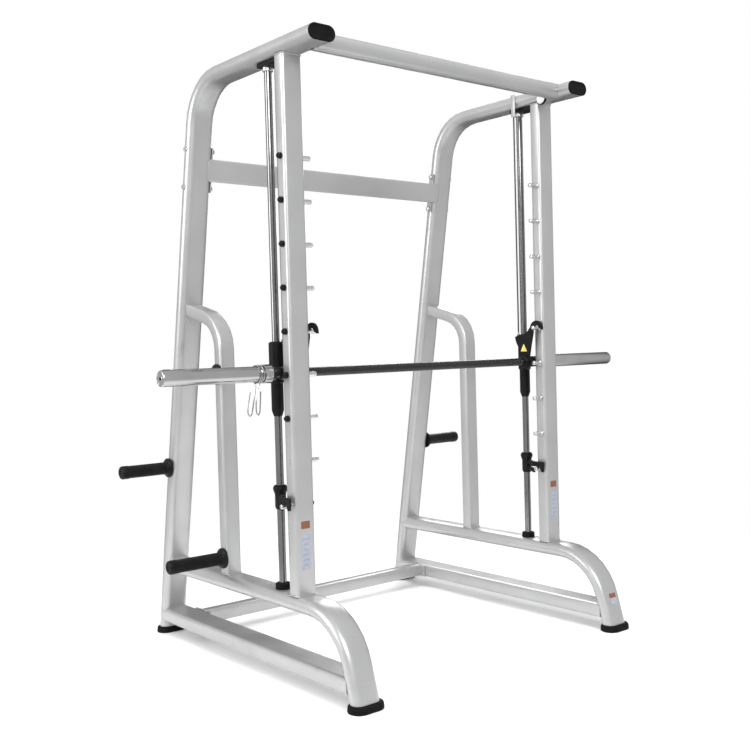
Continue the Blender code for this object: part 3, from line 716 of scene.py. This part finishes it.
def spring_clip():
    """Coil of three turns round the sleeve and two squeezed wire handles hanging from it."""
    coil = 0.0274
    turns = 3
    pitch = 0.0060
    body = []
    for step in range(turns * 36 + 1):
        angle = 2 * math.pi * step / 36
        body.append((-pitch * step / 36, -coil * math.sin(angle), -coil * math.cos(angle)))
    end = -pitch * turns
    first = [(0.0020, 0.002, -0.055), (-0.0020, 0.000, -0.096), (-0.0060, -0.002, -0.119),
             (-0.0125, -0.003, -0.129), (-0.0185, -0.003, -0.119), (-0.0185, -0.002, -0.096),
             (-0.0105, 0.002, -0.055), (-0.0025, 0.0045, -0.036)]
    last = [(end - 0.002, -0.004, -0.036), (end - 0.004, -0.003, -0.055), (end - 0.009, 0.002, -0.098),
            (end - 0.0130, 0.004, -0.122), (end - 0.0210, 0.004, -0.131), (end - 0.0275, 0.004, -0.121),
            (end - 0.0265, 0.004, -0.097), (end - 0.018, 0.003, -0.055)]
    route = smoothed(first + [body[0]], 8)[:-1] + [Vector(p) for p in body]
    route += smoothed([body[-1]] + last, 8)[1:]
    points = [(CLIP_START_X + p[0], BAR_Y + p[1], BAR_Z + p[2]) for p in route]
    wire("clip_wire_form", points, CLIP_WIRE_R, CLIP_WIRE, "clip", resolution=3, slot="chrome",
         replaces=("spring_clip",))


def hook_details():
    for side, tag in SIDES:
        low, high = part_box("hook_" + tag)
        hub_inner = side * min(abs(low.x), abs(high.x))
        turned("hook_hub_ring_" + tag, (hub_inner, BAR_Y, BAR_Z), (-side, 0, 0),
               ((0.0, 0.0250), (0.0030, 0.0244), (0.0042, 0.0225), (0.0046, 0.0158)), BLACK, "bar", 48,
               slot="black_paint")
        face = side * (HOOK_X - 0.0042)
        middle = Vector((face, BAR_Y + 0.003, BAR_Z + 0.052))
        bm = bmesh.new()
        corners = [(0.0, 0.0170), (-0.0155, -0.0110), (0.0155, -0.0110)]
        outline = []
        for cy, cz in corners:
            heading = math.atan2(cz, cy)
            for step in range(-4, 5):
                angle = heading + step * math.radians(13.0)
                outline.append((cy * 0.86 + 0.0022 * math.cos(angle),
                                cz * 0.86 + 0.0022 * math.sin(angle)))
        rings = []
        for depth in (0.0, 0.0003):
            rings.append([bm.verts.new((middle.x - side * depth, middle.y + y, middle.z + z))
                          for y, z in outline])
        skin(bm, rings)
        add_piece("hook_marker_" + tag, bm, YELLOW, "bar", slot="black_plastic")


def carriage_details():
    for side, tag in SIDES:
        x = side * FRAME_X
        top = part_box("carriage_" + tag)[1].z
        turned("carriage_wiper_" + tag, (x, ROD_Y, top), (0, 0, 1),
               ((-0.002, 0.0190), (0.0008, 0.0190), (0.0016, 0.0180), (0.0018, 0.0130)), RUBBER,
               "carriage", 40, slot="rubber")
        for number, z in enumerate((BAR_Z + 0.080, BAR_Z + 0.045)):
            facing = Vector((-side * 0.94, 0.34, 0.0)).normalized()
            seat = Vector((x, ROD_Y, z)) + facing * 0.0241
            turned(f"carriage_screw_{tag}{number}", seat, facing,
                   ((-0.003, 0.0040), (0.0006, 0.0040), (0.0012, 0.0034), (0.0012, 0.0020),
                    (-0.0010, 0.0018)), BOLT_BLACK, "carriage", 20, slot="black_paint")


def stop_details():
    for side, tag in SIDES:
        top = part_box("safety_stop_" + tag)[1].z
        turned("stop_buffer_" + tag, (side * FRAME_X, ROD_Y, top), (0, 0, 1),
               ((-0.0010, 0.0205), (0.0020, 0.0210), (0.0040, 0.0200), (0.0050, 0.0175),
                (0.0052, 0.0131)), RUBBER, "stop_" + tag, 40, slot="rubber")


# Plain labels, with no text

def film(name, origin, right, up, width, height, material, lift=0.0):
    """A thin label with round corners on a flat face."""
    right = Vector(right)
    up = Vector(up)
    out = right.cross(up)
    bm = bmesh.new()
    rings = []
    for depth in (lift, lift + 0.00025):
        loop = rounded_loop(width, height, min(width, height) * 0.12, 4)
        rings.append([bm.verts.new(Vector(origin) + right * u + up * v + out * depth) for u, v in loop])
    skin(bm, rings)
    add_piece(name, bm, material, "frame", slot="black_plastic")


def label_set(name, origin, right, up, width, height):
    film(name + "_base", origin, right, up, width, height, LABEL_PALE, 0.0002)
    up_v = Vector(up)
    rows = 6
    for row in range(rows):
        shift = height * (0.36 - 0.72 * row / (rows - 1))
        place = Vector(origin) + up_v * shift
        film(f"{name}_line{row}", place, right, up, width * (0.72 - 0.12 * (row % 3)), height * 0.035,
             LABEL_LINES, 0.0005)


def labels():
    front = UPRIGHT_Y - 0.0251
    for side, tag in SIDES:
        x = side * FRAME_X
        film("upright_label_top_" + tag, (x, front, 0.521), (1, 0, 0), (0, 0, 1), 0.034, 0.024,
             LABEL_ORANGE, 0.0002)
        label_set("upright_label_" + tag, (x, front, 0.434), (1, 0, 0), (0, 0, 1), 0.036, 0.115)
    up = Vector((0.0, math.sin(FRONT_LEAN), math.cos(FRONT_LEAN)))
    foot = Vector((FRAME_X, UPRIGHT_Y + FRONT_FACE_Y, 0.0))
    for name, reach, height, material in (("bar", 0.131, 0.016, LABEL_ORANGE),
                                          ("panel", 0.110, 0.020, LABEL_PALE)):
        film("leg_label_" + name, foot + up * reach, (1, 0, 0), up, 0.036, height, material, 0.0003)


def camera():
    data = bpy.data.cameras.new("camera")
    data.lens = CAMERA_LENS
    data.sensor_width = 36.0
    item = bpy.data.objects.new("camera", data)
    bpy.context.scene.collection.objects.link(item)
    a = math.radians(CAMERA_AZIMUTH)
    e = math.radians(CAMERA_ELEVATION)
    r = math.radians(CAMERA_ROLL)
    back = Vector((math.sin(a) * math.cos(e), -math.cos(a) * math.cos(e), math.sin(e)))
    right = (-back).cross(Vector((0, 0, 1))).normalized()
    up = right.cross(-back)
    turned_right = right * math.cos(r) + up * math.sin(r)
    turned_up = up * math.cos(r) - right * math.sin(r)
    matrix = Matrix((turned_right, turned_up, back)).transposed().to_4x4()
    matrix.translation = CAMERA_FROM_UPRIGHT + Vector((0, UPRIGHT_Y, 0))
    item.matrix_world = matrix
    bpy.context.scene.camera = item


def area_light(name, place, target, size, power, reflected=True):
    data = bpy.data.lights.new(name, "AREA")
    data.shape = "RECTANGLE"
    data.size, data.size_y = size
    data.energy = power
    item = bpy.data.objects.new(name, data)
    bpy.context.scene.collection.objects.link(item)
    item.location = place
    item.rotation_euler = (Vector(target) - Vector(place)).to_track_quat("-Z", "Y").to_euler()
    item.visible_glossy = reflected


def floor_disc():
    """Pale floor that fades away into the white surroundings."""
    bm = bmesh.new()
    bmesh.ops.create_circle(bm, cap_ends=True, segments=96, radius=FLOOR_RADIUS)
    floor = Shader("pale_floor", (0.88, 0.88, 0.88), 0.6, 0.0)
    floor.colour(floor.ramp(floor.noise(0.8, 3.0), ((0.3, (0.87, 0.87, 0.87)), (0.7, (0.90, 0.90, 0.90)))))
    gradient = floor.add("ShaderNodeTexGradient", gradient_type="SPHERICAL")
    floor.link(floor.stretched((1 / FLOOR_RADIUS,) * 3), gradient.inputs["Vector"])
    floor.link(floor.spread(gradient.outputs["Fac"], 0.0, 1.0, 0.22, 0.70), floor.bsdf.inputs["Alpha"])
    add_piece("floor", bm, floor.material, None)


def surroundings():
    """White behind the object; the light that falls on it comes mostly from the front left."""
    world = bpy.data.worlds.new("studio")
    world.use_nodes = True
    tree = world.node_tree
    seen = tree.nodes["Background"]
    seen.inputs["Color"].default_value = (1.0, 1.0, 1.0, 1.0)
    seen.inputs["Strength"].default_value = 1.0
    lit = tree.nodes.new("ShaderNodeBackground")
    direction = tree.nodes.new("ShaderNodeTexCoord")
    facing = tree.nodes.new("ShaderNodeVectorMath")
    facing.operation = "DOT_PRODUCT"
    facing.inputs[1].default_value = LIT_FROM
    tree.links.new(direction.outputs["Generated"], facing.inputs[0])
    shade = tree.nodes.new("ShaderNodeMapRange")
    shade.interpolation_type = "SMOOTHSTEP"
    for key, value in (("From Min", -1.0), ("From Max", -0.25), ("To Min", 0.10), ("To Max", 0.96)):
        shade.inputs[key].default_value = value
    tree.links.new(facing.outputs["Value"], shade.inputs["Value"])
    tree.links.new(shade.outputs["Result"], lit.inputs["Strength"])
    path = tree.nodes.new("ShaderNodeLightPath")
    mix = tree.nodes.new("ShaderNodeMixShader")
    tree.links.new(path.outputs["Is Camera Ray"], mix.inputs[0])
    tree.links.new(lit.outputs["Background"], mix.inputs[1])
    tree.links.new(seen.outputs["Background"], mix.inputs[2])
    tree.links.new(mix.outputs["Shader"], tree.nodes["World Output"].inputs["Surface"])
    bpy.context.scene.world = world


def studio():
    floor_disc()
    surroundings()
    bpy.context.scene.view_settings.view_transform = "Standard"
    area_light("overhead", (-0.4, -0.6, 4.6), (0.0, 0.1, 0.0), (3.6, 3.6), 190.0, False)
    area_light("key", (-3.0, -3.6, 3.4), (0.0, 0.0, 0.8), (1.8, 1.8), 110.0)
    area_light("side", (-4.6, 1.2, 2.4), (0.0, 0.0, 1.0), (2.2, 2.8), 95.0)
    area_light("back", (3.6, 3.2, 3.2), (0.0, 0.0, 1.0), (2.0, 2.4), 70.0)


finish_nodes()
welds()
peg_pieces()
storage_pegs()
for frame_side, frame_tag in SIDES:
    oval_pad("front_pad_" + frame_tag, "front_foot_" + frame_tag, 0.0035)
    oval_pad("rear_pad_" + frame_tag, "rear_foot_" + frame_tag, 0.0040)
    beam_cap(frame_tag)
member_bolts()
cable_parts()
beam_fittings()
rod_fittings()
sleeves()
spring_clip()
hook_details()
carriage_details()
stop_details()
labels()
camera()
studio()
